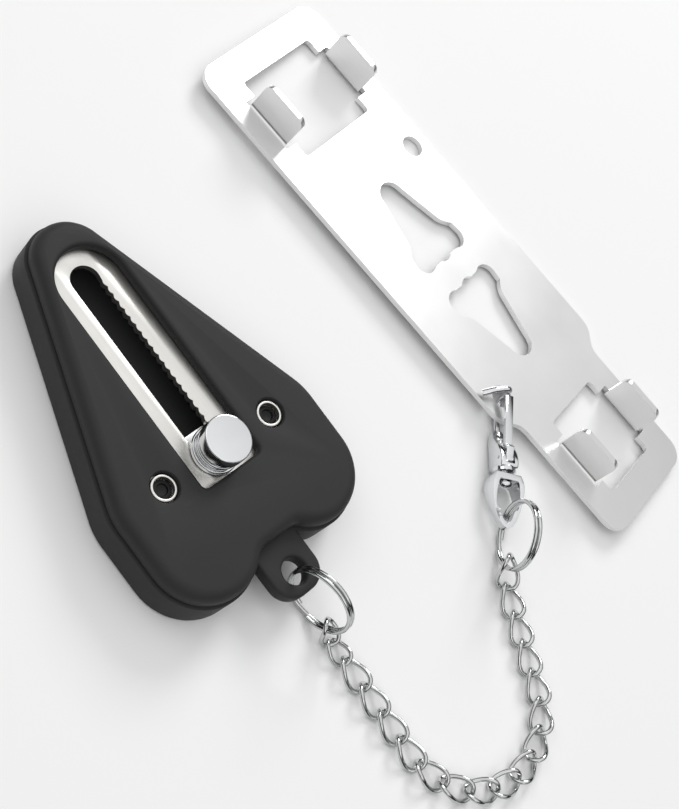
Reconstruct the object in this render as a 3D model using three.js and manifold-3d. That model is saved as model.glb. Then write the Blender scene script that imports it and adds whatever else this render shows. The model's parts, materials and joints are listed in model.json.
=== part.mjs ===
import * as THREE from 'three';
import Module from 'manifold-3d';

// Portable travel door lock: a flat strike plate with four bent-up claws, a heart-shaped
// lock block with a sliding thumb knob, and a chain that joins them through two split rings
// and a swivel trigger clasp. Millimetres, +Z up, everything lies on the floor at z = 0.

const wasm = await Module();
wasm.setup();
const { Manifold, Mesh } = wasm;

// ---------- clearances ----------
const seatGap = 0.3; // between pieces that touch
const runGap = 0.35; // between pieces that move past each other

// ---------- strike plate ----------
const plateLength = 165;
const plateWidth = 50.6;
const plateTailWidth = 40.4; // width past the neck
const plateThick = 1.6;
const plateCornerR = 5.5;
const neckStart = 118; // from the head end
const neckRun = 10;
const clawLength = 13.8;
const clawHeight = 9.8; // above the plate's top face
const clawCornerR = 2.2;
const clawBendR = 0.9; // inside radius of the bend
const reliefWidth = 1.3; // notch beside each claw
const windowCornerR = 1.2;
const headWindow = { start: 8.9, length: 25.7, halfWidth: 15.1, clawFace: 16.6 };
const tailWindow = { start: 131.0, length: 25.0, halfWidth: 10.9, clawFace: 12.0 };
const eyeRadius = 3.2; // round holes in the plate
const eyeEdge = 6.4; // from a long edge to the centre of a round hole
const headEyeX = 49.8;
const tailEyeX = 116.3;
const keyLength = 26.4;
const keyWideHalf = 10.9;
const keyNarrowHalf = 4.2;
const keyShoulderHalf = 7.4; // where the straight flanks meet the wide end
const keyHeadX = 52.4; // narrow tip of the first keyhole
const keyTailX = 113.9; // narrow tip of the second keyhole

// ---------- lock block ----------
const blockHeight = 14.2;
const seamZ = 9.2; // top of the rear shell
const tipU = -49.6; // centre of the round tip
const tipR = 10.7;
const lobeU = 20; // centre of each lobe
const lobeV = 17;
const lobeR = 15;
const shoulderU = 7.7;
const shoulderR = 18;
const notchU = 27.2; // deepest point between the lobes
const notchR = 3.6;
const shellWall = 3.2;
const shellStep = 0.7; // how far the rear shell stands out past the front shell
const edgeRound = 2.4;
const trackThick = 1.8;
const recessHalf = 9.3; // window of the front shell over the track
const recessTipU = -42.6;
const slotHalf = 3.9;
const slotTipU = -44.1; // centre of the slot's round tip
const slotEndU = 4.9; // centre of the slot's round end
const toothPitch = 2.2;
const toothDepth = 0.45;
const eyeletU = 5.3;
const eyeletV = 17.5;
const eyeletR = 3.6; // hole in the front shell
const rivetHeadR = 2.5;
const rivetShankR = 1.4;
const pocketHalf = 7.6; // space for the clamp nut under the track
const pocketFloor = 3.0;
const screwHeadR = 2.9;
const screwShankR = 1.3;
const screwBossR = 2.5; // post of the front shell that takes a screw
const lugU = 38.2;
const lugHalf = 7.2;
const lugEndU = 44;
const lugHoleR = 3.3;
const lugBottom = 5.0;
const lugTop = 9.2;

// ---------- thumb knob ----------
const knobR = 5.95;
const knobGrooveR = 5.0;
const knobTopZ = 20.1;
const washerThick = 1.4;
const studR = 2.0;
const nutThick = 1.7;
const nutLength = 13;
const nutHalfWidth = 6.6;
const clampTravel = 0.35; // half a turn of a 0.7 mm thread

// ---------- rings and chain ----------
const ringDiameter = 18.6;
const ringWire = 1.1;
const ringCoilGap = 0.08;
const ringCentreZ = ringDiameter / 2 + 0.05; // standing just clear of the floor
const curbLink = { wire: 1.2, halfLength: 4.55, halfWidth: 2.85, twist: 1.3 };
const smallLink = { wire: 1.1, halfLength: 3.5, halfWidth: 2.5, twist: 0.95 };
const curbCount = 16;
const straightLinks = 5; // links before the chain starts to turn
const bendLinks = 8; // links that each turn by the same angle
const linkSlack = 0.45;
const ringLinkOffset = 1.1; // from the ring's wire to the link's centre
const bailRingGap = 1.0; // from the ring to the inside of the bail's end

// ---------- clasp ----------
const hookWire = 1.8;
const claspAngle = -49; // degrees, from the plate's eye to the swivel
const claspAxisZ = 3.7;
const hingeS = 18.4; // gate pin, from the centre of the plate's eye
const hingeZ = 5.6;
const gateTipS = 0.9;
const gateTipZ = 7.4;
const gateWidth = 2.2;
const gateThick = 1.2;
const gateHeelR = 1.25; // round end of the gate about its pin
const gatePinR = 0.6;
const cheekHalf = 2.7;
const capS = 22.4; // rear face of the clasp body
const capR = 3.2;
const swivelShankR = 1.0;
const swivelHeadR = 2.1;
const bailWire = 1.7;
const bailHalf = 4.3;
const bailLength = 14.6;
const hubThick = 1.7;
const hubHalfHeight = 2.6;

// ---------- layout on the floor ----------
const hookPass = hookWire + 2 * runGap - 0.1; // room for the hook under the plate's eye
const plateTilt = Math.asin(hookPass / (plateWidth - eyeEdge - eyeRadius)); // leans on the hook
const blockYaw = THREE.MathUtils.degToRad(-5.6);
const blockPlace = new THREE.Vector3(70.9, -102.4, 0);
const blockRingYaw = THREE.MathUtils.degToRad(-2);
const claspRingYaw = THREE.MathUtils.degToRad(-50);

// ---------- colours ----------
const steel = { color: 0xd9dadb, roughness: 0.32, metalness: 1 };
const brushed = { color: 0xc9c8c4, roughness: 0.42, metalness: 1 };
const chrome = { color: 0xe2e4e6, roughness: 0.12, metalness: 1 };
const nickel = { color: 0xb9bbbd, roughness: 0.22, metalness: 1 };
const black = { color: 0x2b2b2c, roughness: 0.62, metalness: 0 };
const blackSteel = { color: 0x151515, roughness: 0.5, metalness: 0.6 };

const rad = THREE.MathUtils.degToRad;
const V2 = (x, y) => new THREE.Vector2(x, y);
const V3 = (x, y, z) => new THREE.Vector3(x, y, z);

// ---------- solids ----------
function toManifold(geometry) {
  const flat = geometry.index ? geometry.toNonIndexed() : geometry;
  const source = flat.attributes.position;
  const keys = new Map();
  const points = [];
  const corners = [];
  for (let i = 0; i < source.count; i += 1) {
    const p = [source.getX(i), source.getY(i), source.getZ(i)];
    const key = p.map((value) => Math.round(value * 1e5)).join();
    if (!keys.has(key)) {
      keys.set(key, points.length / 3);
      points.push(...p);
    }
    corners.push(keys.get(key));
  }
  const faces = [];
  for (let i = 0; i < corners.length; i += 3) {
    const [a, b, c] = corners.slice(i, i + 3);
    if (a !== b && b !== c && a !== c) faces.push(a, b, c);
  }
  return new Manifold(new Mesh({
    numProp: 3,
    vertProperties: Float32Array.from(points),
    triVerts: Uint32Array.from(faces),
  }));
}

function toGeometry(solid) {
  const { vertProperties, triVerts, numProp } = solid.getMesh();
  const positions = new Float32Array(triVerts.length * 3);
  triVerts.forEach((corner, i) => {
    for (let k = 0; k < 3; k += 1) positions[i * 3 + k] = vertProperties[corner * numProp + k];
  });
  const geometry = new THREE.BufferGeometry();
  geometry.setAttribute('position', new THREE.BufferAttribute(positions, 3));
  geometry.computeVertexNormals();
  return geometry;
}

// Outline in the XY plane, raised from z0 to z1.
function slab(shape, z0, z1, segments = 10) {
  const geometry = new THREE.ExtrudeGeometry(shape, {
    depth: z1 - z0, bevelEnabled: false, curveSegments: segments,
  });
  return toManifold(geometry.translate(0, 0, z0));
}

// Outline drawn as (x, z), carried along Y from y0 to y1.
function wallXZ(shape, y0, y1, segments = 8) {
  const geometry = new THREE.ExtrudeGeometry(shape, {
    depth: y1 - y0, bevelEnabled: false, curveSegments: segments,
  });
  return toManifold(geometry.rotateX(Math.PI / 2).translate(0, y1, 0));
}

// Outline drawn as (y, z), carried along X from x0 to x1.
function wallYZ(shape, x0, x1, segments = 6) {
  const geometry = new THREE.ExtrudeGeometry(shape, {
    depth: x1 - x0, bevelEnabled: false, curveSegments: segments,
  });
  geometry.rotateX(Math.PI / 2).rotateZ(Math.PI / 2);
  return toManifold(geometry.translate(x0, 0, 0));
}

function post(x, y, radius, z0, z1, segments = 32) {
  const geometry = new THREE.CylinderGeometry(radius, radius, z1 - z0, segments);
  return toManifold(geometry.rotateX(Math.PI / 2).translate(x, y, (z0 + z1) / 2));
}

function lathe(profile, segments = 32) {
  const points = profile.map(([r, z]) => V2(r, z));
  return toManifold(new THREE.LatheGeometry(points, segments).rotateX(Math.PI / 2));
}

// Round wire with two open ends.
function wireAlong(curve, diameter, steps) {
  const sides = 8;
  const section = new THREE.Shape();
  section.absarc(0, 0, diameter / 2 / Math.cos(Math.PI / sides), 0, 2 * Math.PI);
  return new THREE.ExtrudeGeometry(section, {
    steps, extrudePath: curve, bevelEnabled: false, curveSegments: sides / 2,
  });
}

class FormulaCurve extends THREE.Curve {
  constructor(formula) {
    super();
    this.formula = formula;
  }

  getPoint(t, target = new THREE.Vector3()) {
    return target.copy(this.formula(t));
  }
}

// ---------- outlines ----------
function roundedRectangle(x0, y0, x1, y1, r) {
  const shape = new THREE.Shape();
  shape.absarc(x1 - r, y0 + r, r, -Math.PI / 2, 0);
  shape.absarc(x1 - r, y1 - r, r, 0, Math.PI / 2);
  shape.absarc(x0 + r, y1 - r, r, Math.PI / 2, Math.PI);
  shape.absarc(x0 + r, y0 + r, r, Math.PI, Math.PI * 1.5);
  return shape;
}

function plateOutline() {
  const w = plateWidth / 2;
  const n = plateTailWidth / 2;
  const r = plateCornerR;
  const neckEnd = neckStart + neckRun;
  const neckMid = neckStart + neckRun / 2;
  const shape = new THREE.Shape();
  shape.moveTo(r, -w);
  shape.lineTo(neckStart, -w);
  shape.bezierCurveTo(neckMid, -w, neckMid, -n, neckEnd, -n);
  shape.absarc(plateLength - r, -n + r, r, -Math.PI / 2, 0);
  shape.absarc(plateLength - r, n - r, r, 0, Math.PI / 2);
  shape.lineTo(neckEnd, n);
  shape.bezierCurveTo(neckMid, n, neckMid, w, neckStart, w);
  shape.absarc(r, w - r, r, Math.PI / 2, Math.PI);
  shape.absarc(r, -w + r, r, Math.PI, Math.PI * 1.5);
  return shape;
}

// Foot-shaped keyhole: narrow round tip at x = 0, three-lobed wide end at x = keyLength.
function keyholeOutline() {
  const lobeReach = keyWideHalf / 3;
  const lobeX = keyLength - lobeReach * 0.75;
  const sideR = lobeReach * 0.95;
  const shape = new THREE.Shape();
  const n = keyNarrowHalf;
  shape.moveTo(n * 0.45, -n * 0.8);
  shape.quadraticCurveTo(n * 0.75, -n, n * 1.2, -n * 1.05);
  shape.lineTo(keyLength * 0.62, -keyShoulderHalf);
  const bend = [keyLength * 0.7, keyWideHalf * 0.72];
  const flank = [lobeX - sideR * 0.9, keyWideHalf * 0.96];
  shape.quadraticCurveTo(bend[0], -bend[1], flank[0], -flank[1]);
  shape.absarc(lobeX, -keyWideHalf + sideR, sideR, -Math.PI / 2, 0.55);
  shape.absarc(lobeX, 0, lobeReach * 1.02, -0.75, 0.75);
  shape.absarc(lobeX, keyWideHalf - sideR, sideR, -0.55, Math.PI / 2);
  shape.lineTo(flank[0], flank[1]);
  shape.quadraticCurveTo(bend[0], bend[1], keyLength * 0.62, keyShoulderHalf);
  shape.lineTo(n * 1.2, n * 1.05);
  shape.quadraticCurveTo(n * 0.75, n, n * 0.45, n * 0.8);
  shape.quadraticCurveTo(-n * 0.3, 0, n * 0.45, -n * 0.8);
  return shape;
}

// Heart-shaped outline of the block, moved in by inset on every side.
function heartOutline(inset) {
  const tip = tipR - inset;
  const lobe = lobeR - inset;
  const shoulder = shoulderR - inset;
  const notch = notchR + inset;
  const shoulderV = lobeV + lobeR - shoulderR;
  const run = Math.hypot(shoulderU - tipU, shoulderV);
  const flank = Math.PI / 2 + Math.atan2(shoulderV, shoulderU - tipU)
    + Math.asin((shoulderR - tipR) / run);
  const bridgeV = notchR * 1.25;
  const inner = Math.asin((lobeV - bridgeV) / (lobeR + notchR));
  const notchCentreU = lobeU + (lobeR + notchR) * Math.cos(inner);
  const shape = new THREE.Shape();
  shape.absarc(shoulderU, shoulderV, shoulder, Math.PI / 2, flank);
  shape.absarc(tipU, 0, tip, flank, 2 * Math.PI - flank);
  shape.absarc(shoulderU, -shoulderV, shoulder, -flank, -Math.PI / 2);
  shape.absarc(lobeU, -lobeV, lobe, -Math.PI / 2, inner);
  shape.absarc(notchCentreU, -bridgeV, notch, Math.PI + inner, Math.PI * 0.93, true);
  shape.lineTo(notchU - inset, 0);
  shape.absarc(notchCentreU, bridgeV, notch, Math.PI * 1.07, Math.PI - inner, true);
  shape.absarc(lobeU, lobeV, lobe, -inner, Math.PI / 2);
  return shape;
}

// Straight-sided opening with a round tip, as the track's recess has.
function trackOpening(half, tipCentre, end, cornerR) {
  const shape = new THREE.Shape();
  shape.absarc(tipCentre, 0, half, Math.PI / 2, Math.PI * 1.5);
  shape.absarc(end - cornerR, -half + cornerR, cornerR, -Math.PI / 2, 0);
  shape.absarc(end - cornerR, half - cornerR, cornerR, 0, Math.PI / 2);
  return shape;
}

// Slot with a round tip, a round end and scallops along its +V edge.
function slotOutline() {
  const shape = new THREE.Shape();
  shape.absarc(slotTipU, 0, slotHalf, Math.PI / 2, Math.PI * 1.5);
  shape.absarc(slotEndU, 0, slotHalf, -Math.PI / 2, Math.PI / 2);
  const teeth = Math.floor((slotEndU - slotTipU - 2) / toothPitch);
  const first = (slotEndU + slotTipU + teeth * toothPitch) / 2;
  for (let i = 0; i < teeth; i += 1) {
    const u = first - i * toothPitch;
    shape.lineTo(u, slotHalf);
    shape.quadraticCurveTo(u - toothPitch / 2, slotHalf - 2 * toothDepth, u - toothPitch, slotHalf);
  }
  return shape;
}

// ---------- strike plate ----------
function claw(centreX, face) {
  const t = plateThick;
  const r = clawBendR;
  const top = t + clawHeight;
  const side = new THREE.Shape();
  side.moveTo(face + t + r + 1, 0);
  side.lineTo(face + t + r + 1, t);
  side.lineTo(face + t + r, t);
  side.absarc(face + t + r, t + r, r, -Math.PI / 2, Math.PI, true);
  side.lineTo(face + t, top);
  side.lineTo(face, top);
  side.absarc(face + t + r, t + r, t + r, Math.PI, Math.PI * 1.5);
  const front = roundedRectangle(
    centreX - clawLength / 2, -clawCornerR, centreX + clawLength / 2, top, clawCornerR,
  );
  const bent = wallYZ(side, centreX - clawLength / 2, centreX + clawLength / 2);
  return bent.intersect(wallXZ(front, 0, plateWidth));
}

function windowCut(w) {
  const centre = w.start + w.length / 2;
  const end = w.start + w.length;
  const opening = roundedRectangle(w.start, -w.halfWidth, end, w.halfWidth, windowCornerR);
  const side = clawLength / 2 + reliefWidth;
  const reach = w.clawFace + plateThick + clawBendR;
  const relief = roundedRectangle(centre - side, -reach, centre + side, reach, reliefWidth * 0.45);
  return slab(opening, -1, plateThick + 1, 4).add(slab(relief, -1, plateThick + 1, 4));
}

function strikePlate() {
  let plate = slab(plateOutline(), 0, plateThick, 8);
  for (const w of [headWindow, tailWindow]) {
    const centre = w.start + w.length / 2;
    plate = plate.subtract(windowCut(w));
    const right = claw(centre, w.clawFace);
    plate = plate.add(right).add(right.mirror([0, 1, 0]));
  }
  const eyeY = plateWidth / 2 - eyeEdge;
  plate = plate.subtract(post(headEyeX, eyeY, eyeRadius, -1, plateThick + 1));
  plate = plate.subtract(post(tailEyeX, -eyeY, eyeRadius, -1, plateThick + 1));
  const key = slab(keyholeOutline(), -1, plateThick + 1, 5);
  plate = plate.subtract(key.translate([keyHeadX, 0, 0]));
  plate = plate.subtract(key.rotate([0, 0, 180]).translate([keyTailX, 0, 0]));
  return plate;
}

// ---------- lock block ----------
const trackBottom = seamZ + seatGap;
const trackTop = trackBottom + trackThick;
const ceilingZ = trackTop + seatGap;
const screwSpots = [[tipU - 5.2, 0], [lobeU + 4, lobeV + 3], [lobeU + 4, -lobeV - 3]];

// Slab with its upper edge rounded off in steps.
function roundedSlab(inset, z0, z1, round) {
  const steps = 2;
  let solid = slab(heartOutline(inset), z0, z1 - round);
  for (let i = 1; i <= steps; i += 1) {
    const a = (i / steps) * Math.PI / 2;
    const b = ((i - 1) / steps) * Math.PI / 2;
    const inner = inset + round * (1 - Math.cos((a + b) / 2));
    const top = z1 - round + round * Math.sin(a);
    solid = solid.add(slab(heartOutline(inner), z1 - round - 0.01, top));
  }
  return solid;
}

function rearShell() {
  let shell = slab(heartOutline(0), 0, seamZ);
  const lug = new THREE.Shape();
  lug.moveTo(notchU - 3, -lugHalf);
  lug.absarc(lugEndU - lugHalf * 0.8, -lugHalf * 0.2, lugHalf * 0.8, -Math.PI / 2, 0);
  lug.absarc(lugEndU - lugHalf * 0.8, lugHalf * 0.2, lugHalf * 0.8, 0, Math.PI / 2);
  lug.lineTo(notchU - 3, lugHalf);
  shell = shell.add(slab(lug, lugBottom, lugTop));
  shell = shell.subtract(post(lugU, 0, lugHoleR, 0, seamZ + 1));
  const pocket = trackOpening(pocketHalf, slotTipU, slotEndU + pocketHalf, 2);
  shell = shell.subtract(slab(pocket, pocketFloor, seamZ + 1));
  for (const side of [1, -1]) {
    shell = shell.subtract(post(eyeletU, side * eyeletV, rivetShankR + seatGap, pocketFloor, seamZ + 1));
  }
  for (const [u, v] of screwSpots) {
    shell = shell.subtract(post(u, v, screwShankR + seatGap, -1, seamZ + 1));
    shell = shell.subtract(post(u, v, screwHeadR + seatGap, -1, 2.2));
  }
  return shell;
}

function frontShell() {
  const bottom = seamZ + seatGap;
  let shell = roundedSlab(shellStep, bottom, blockHeight, edgeRound);
  shell = shell.subtract(slab(heartOutline(shellStep + shellWall - seatGap), bottom - 1, ceilingZ));
  for (const [u, v] of screwSpots) {
    shell = shell.add(post(u, v, screwBossR, bottom, ceilingZ + 0.2));
    shell = shell.subtract(post(u, v, screwShankR + seatGap, bottom - 1, ceilingZ + 0.9));
  }
  const opening = trackOpening(recessHalf, recessTipU, slotEndU + knobR + runGap, 1.6);
  shell = shell.subtract(slab(opening, ceilingZ - 1, blockHeight + 1));
  for (const side of [1, -1]) {
    shell = shell.subtract(post(eyeletU, side * eyeletV, eyeletR, ceilingZ - 1, blockHeight + 1));
  }
  return shell;
}

function trackPlate() {
  let plate = slab(heartOutline(shellStep + shellWall), trackBottom, trackTop);
  plate = plate.subtract(slab(slotOutline(), trackBottom - 1, trackTop + 1, 4));
  for (const side of [1, -1]) {
    const hole = post(eyeletU, side * eyeletV, rivetShankR + seatGap, trackBottom - 1, trackTop + 1);
    plate = plate.subtract(hole);
  }
  for (const [u, v] of screwSpots) {
    plate = plate.subtract(post(u, v, screwBossR + seatGap, trackBottom - 1, trackTop + 1));
  }
  return plate;
}

function trackRivet() {
  const head = trackTop + seatGap;
  return lathe([
    [0, pocketFloor + seatGap], [rivetShankR, pocketFloor + seatGap], [rivetShankR, head],
    [rivetHeadR, head], [rivetHeadR, head + 0.5], [rivetHeadR - 0.3, head + 0.8], [0, head + 0.8],
  ], 28);
}

function rearScrew() {
  return lathe([
    [0, 0.4], [screwHeadR - 0.4, 0.4], [screwHeadR, 0.8], [screwHeadR, 1.9],
    [screwShankR, 1.9], [screwShankR, ceilingZ + 0.6], [0, ceilingZ + 0.6],
  ], 24);
}

// ---------- thumb knob ----------
const washerBottom = trackTop + seatGap;
const washerTop = washerBottom + washerThick;
const nutTop = trackBottom - clampTravel - 0.1;

function knobWasher() {
  return lathe([
    [studR + seatGap, washerBottom], [knobR - 0.2, washerBottom], [knobR, washerBottom + 0.2],
    [knobR, washerTop - 0.2], [knobR - 0.2, washerTop], [studR + seatGap, washerTop],
    [studR + seatGap, washerBottom],
  ]);
}

function lockKnob() {
  const foot = washerTop + seatGap;
  const collar = foot + 1.5;
  const head = collar + 1.9;
  return lathe([
    [0, pocketFloor + 2.2], [studR, pocketFloor + 2.2], [studR, foot], [knobR - 0.3, foot],
    [knobR, foot + 0.3], [knobR, collar - 0.3], [knobR - 0.3, collar], [knobGrooveR, collar],
    [knobGrooveR, head], [knobR - 0.3, head], [knobR, head + 0.3], [knobR, knobTopZ - 0.35],
    [knobR - 0.35, knobTopZ], [0, knobTopZ],
  ], 36);
}

function clampNut() {
  const half = nutLength / 2;
  const bossTop = trackTop - 0.3;
  const base = roundedRectangle(-half, -nutHalfWidth, half, nutHalfWidth, 1);
  const bossHalf = slotHalf - toothDepth - seatGap;
  const boss = roundedRectangle(-bossHalf, -bossHalf, bossHalf, bossHalf, bossHalf * 0.7);
  return slab(base, nutTop - nutThick, nutTop, 4)
    .add(slab(boss, nutTop - nutThick, bossTop, 4))
    .subtract(post(0, 0, studR + seatGap, 0, blockHeight));
}

// ---------- rings and chain ----------
const ringWireR = (ringDiameter - ringWire) / 2;

// Two touching turns of wire in the XZ plane, centred on the origin.
function splitRing() {
  const turns = 2;
  const lead = ringWire + ringCoilGap;
  const coil = new FormulaCurve((t) => {
    const angle = turns * 2 * Math.PI * t - Math.PI / 2;
    return V3(ringWireR * Math.cos(angle), lead * (t - 0.5) * turns, ringWireR * Math.sin(angle));
  });
  return wireAlong(coil, ringWire, 52);
}

// A link lying in the XY plane with its ends twisted out of it, as in a curb chain.
function chainLink({ wire, halfLength, halfWidth, twist }) {
  const oval = new FormulaCurve((t) => {
    const a = 2 * Math.PI * t;
    return V3(halfLength * Math.cos(a), halfWidth * Math.sin(a), twist * Math.sin(2 * a));
  });
  return closedWire(oval, wire, 20, 7);
}

// Wire whose last section joins its first one.
function closedWire(curve, diameter, steps, sides) {
  const positions = [];
  const rings = [];
  const up = V3(0, 0, 1);
  for (let i = 0; i < steps; i += 1) {
    const t = i / steps;
    const tangent = curve.formula(t + 1e-4).clone().sub(curve.formula(t - 1e-4)).normalize();
    const out = tangent.clone().cross(up).normalize();
    const rise = out.clone().cross(tangent);
    const ring = [];
    for (let k = 0; k < sides; k += 1) {
      const a = (k / sides) * 2 * Math.PI;
      ring.push(curve.formula(t).clone()
        .addScaledVector(out, Math.cos(a) * diameter / 2)
        .addScaledVector(rise, Math.sin(a) * diameter / 2));
    }
    rings.push(ring);
  }
  for (let i = 0; i < steps; i += 1) {
    const ring = rings[i];
    const next = rings[(i + 1) % steps];
    for (let k = 0; k < sides; k += 1) {
      const m = (k + 1) % sides;
      const corners = [ring[k], next[k], ring[m], ring[m], next[k], next[m]];
      for (const p of corners) positions.push(...p.toArray());
    }
  }
  const geometry = new THREE.BufferGeometry();
  geometry.setAttribute('position', new THREE.Float32BufferAttribute(positions, 3));
  geometry.computeVertexNormals();
  return geometry;
}

// ---------- clasp: s runs along X from the plate's eye, z is up ----------
function claspBody() {
  const low = hookWire / 2 + 0.12;
  const top = gateTipZ + 0.2;
  const wirePath = new THREE.CatmullRomCurve3([
    V3(13, 0, 2.2), V3(8, 0, low + 0.2), V3(3.4, 0.2, low), V3(0.6, 0.7, low + 0.4),
    V3(-0.7, 1.1, low + 2.2), V3(-1.0, 1.0, 4.6), V3(-0.9, 0.2, top - 0.4),
    V3(-0.5, -1.6, top - 0.1), V3(0.3, -4.4, top - 0.5), V3(1.2, -7.2, top - 1.8),
  ], false, 'centripetal');
  const wire = toManifold(wireAlong(wirePath, hookWire, 32));
  const side = new THREE.Shape();
  side.moveTo(8.8, 0.4);
  side.lineTo(capS - 1.4, 0.7);
  side.lineTo(capS - 1.4, 6.6);
  side.quadraticCurveTo(capS - 2, 7.2, hingeS, 7.0);
  side.quadraticCurveTo(hingeS - 2.4, 6.6, hingeS - 3.2, 3.4);
  side.quadraticCurveTo(11, 2.1, 8.8, 2.0);
  const plan = new THREE.Shape();
  plan.moveTo(8.6, -0.8);
  plan.quadraticCurveTo(10.5, -cheekHalf, 13, -cheekHalf);
  plan.lineTo(capS, -cheekHalf);
  plan.lineTo(capS, cheekHalf);
  plan.lineTo(13, cheekHalf);
  plan.quadraticCurveTo(10.5, cheekHalf, 8.6, 0.8);
  let body = wallXZ(side, -cheekHalf - 1, cheekHalf + 1).intersect(slab(plan, 0, 10));
  const cap = toManifold(new THREE.CylinderGeometry(capR - 0.5, capR, 2.2, 28)
    .rotateZ(Math.PI / 2).translate(capS - 1.1, 0, claspAxisZ));
  body = body.add(cap).add(wire);
  const channelHalf = gateWidth / 2 + seatGap;
  const channelEnd = hingeS + gateHeelR + runGap;
  const channel = wallXZ(roundedRectangle(9.5, 2.9, channelEnd, 9, 0.6), -channelHalf, channelHalf);
  body = body.subtract(channel);
  body = body.subtract(acrossPin(hingeS, hingeZ, gatePinR + seatGap, cheekHalf + 1));
  return body.subtract(alongPin(capS - 2.2, capS + 1, swivelShankR + seatGap));
}

function acrossPin(s, z, radius, half) {
  const geometry = new THREE.CylinderGeometry(radius, radius, 2 * half, 20);
  return toManifold(geometry.translate(s, 0, z));
}

function alongPin(s0, s1, radius) {
  const geometry = new THREE.CylinderGeometry(radius, radius, s1 - s0, 24);
  return toManifold(geometry.rotateZ(Math.PI / 2).translate((s0 + s1) / 2, 0, claspAxisZ));
}

function claspGate() {
  const half = gateThick / 2;
  const rise = Math.atan2(gateTipZ - hingeZ, hingeS - gateTipS);
  const reach = Math.hypot(gateTipZ - hingeZ, hingeS - gateTipS);
  const side = new THREE.Shape();
  side.moveTo(-reach, -half);
  side.lineTo(-2.2, -half);
  side.absarc(0, 0, gateHeelR, Math.PI * 1.1, Math.PI * 0.62);
  side.lineTo(-2.6, half + 0.9);
  side.lineTo(-3.4, half + 0.9);
  side.lineTo(-3.8, half);
  side.lineTo(-reach + 0.4, half);
  side.lineTo(-reach, half - 0.4);
  const bar = wallXZ(side, -gateWidth / 2, gateWidth / 2).rotate([0, THREE.MathUtils.radToDeg(rise), 0]);
  return bar.translate([hingeS, 0, hingeZ]).subtract(acrossPin(hingeS, hingeZ, gatePinR + seatGap, 5));
}

function gateSpring() {
  const base = hingeZ - 1.9;
  const leaf = new THREE.CatmullRomCurve3([
    V3(hingeS - 3.3, 0, base + 0.75), V3(hingeS - 2.2, 0, base + 0.25),
    V3(hingeS - 1.0, 0, base - 0.1), V3(hingeS + 0.3, 0, base), V3(hingeS + 1.1, 0, base - 0.1),
  ]);
  return toManifold(wireAlong(leaf, 0.5, 20));
}

function swivelRivet() {
  const hubEnd = capS + seatGap + hubThick;
  const profile = [
    [0, capS - 1.9], [swivelShankR, capS - 1.9], [swivelShankR, hubEnd + seatGap],
    [swivelHeadR, hubEnd + seatGap], [swivelHeadR * 0.92, hubEnd + seatGap + 0.7],
    [swivelHeadR * 0.6, hubEnd + seatGap + 1.3], [0, hubEnd + seatGap + 1.55],
  ].map(([r, s]) => V2(r, s));
  const geometry = new THREE.LatheGeometry(profile, 28);
  return toManifold(geometry.rotateZ(-Math.PI / 2).translate(0, 0, claspAxisZ));
}

const bailStart = capS + seatGap;
const bailEnd = bailStart + bailLength;

function swivelBail() {
  const near = bailStart + hubThick / 2;
  const far = bailEnd - bailWire / 2;
  const w = bailHalf - bailWire / 2 + 0.3;
  const half = [[near, w * 0.9], [near + 3.2, w + 0.4], [near + 9, w * 0.86], [far - 0.3, w * 0.5]];
  const loop = new THREE.CatmullRomCurve3([
    ...half.map(([s, y]) => V3(s, -y, claspAxisZ)),
    ...half.reverse().map(([s, y]) => V3(s, y, claspAxisZ)),
  ], false, 'centripetal');
  const hubEnd = bailStart + hubThick;
  const plan = roundedRectangle(bailStart, -w - 0.6, hubEnd, w + 0.6, 0.8);
  const hub = slab(plan, claspAxisZ - hubHalfHeight, claspAxisZ + hubHalfHeight, 4);
  return toManifold(wireAlong(loop, bailWire, 32))
    .add(hub)
    .subtract(alongPin(bailStart - 1, hubEnd + 1, swivelShankR + seatGap));
}

// ---------- scene ----------
const assembly = new THREE.Group();
assembly.name = 'travel_door_lock';

function add(parent, name, solid, look) {
  const geometry = solid.isBufferGeometry ? solid : toGeometry(solid);
  const mesh = new THREE.Mesh(geometry, new THREE.MeshStandardMaterial(look));
  mesh.name = name;
  parent.add(mesh);
  return mesh;
}

function addBlock() {
  const block = new THREE.Group();
  block.position.copy(blockPlace);
  block.rotation.z = blockYaw;
  add(block, 'rear_shell', rearShell(), black);
  add(block, 'front_shell', frontShell(), black);
  add(block, 'track_plate', trackPlate(), brushed);
  add(block, 'track_rivet_right', trackRivet(), blackSteel).position.set(eyeletU, eyeletV, 0);
  add(block, 'track_rivet_left', trackRivet(), blackSteel).position.set(eyeletU, -eyeletV, 0);
  ['rear_screw_tip', 'rear_screw_right', 'rear_screw_left'].forEach((name, i) => {
    add(block, name, rearScrew(), blackSteel).position.set(screwSpots[i][0], screwSpots[i][1], 0);
  });
  add(block, 'knob_washer', knobWasher(), chrome).position.set(slotEndU, 0, 0);
  add(block, 'lock_knob', lockKnob(), chrome).position.set(slotEndU, 0, 0);
  add(block, 'clamp_nut', clampNut(), steel).position.set(slotEndU, 0, 0);
  assembly.add(block);
}

function addPlate() {
  const plate = new THREE.Group();
  plate.position.set(0, 0, Math.sin(plateTilt) * plateWidth / 2);
  plate.rotation.x = -plateTilt;
  add(plate, 'strike_plate', strikePlate(), steel);
  assembly.add(plate);
}

const eyePlace = V3(tailEyeX, (eyeEdge - plateWidth / 2) * Math.cos(plateTilt), 0);

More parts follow.
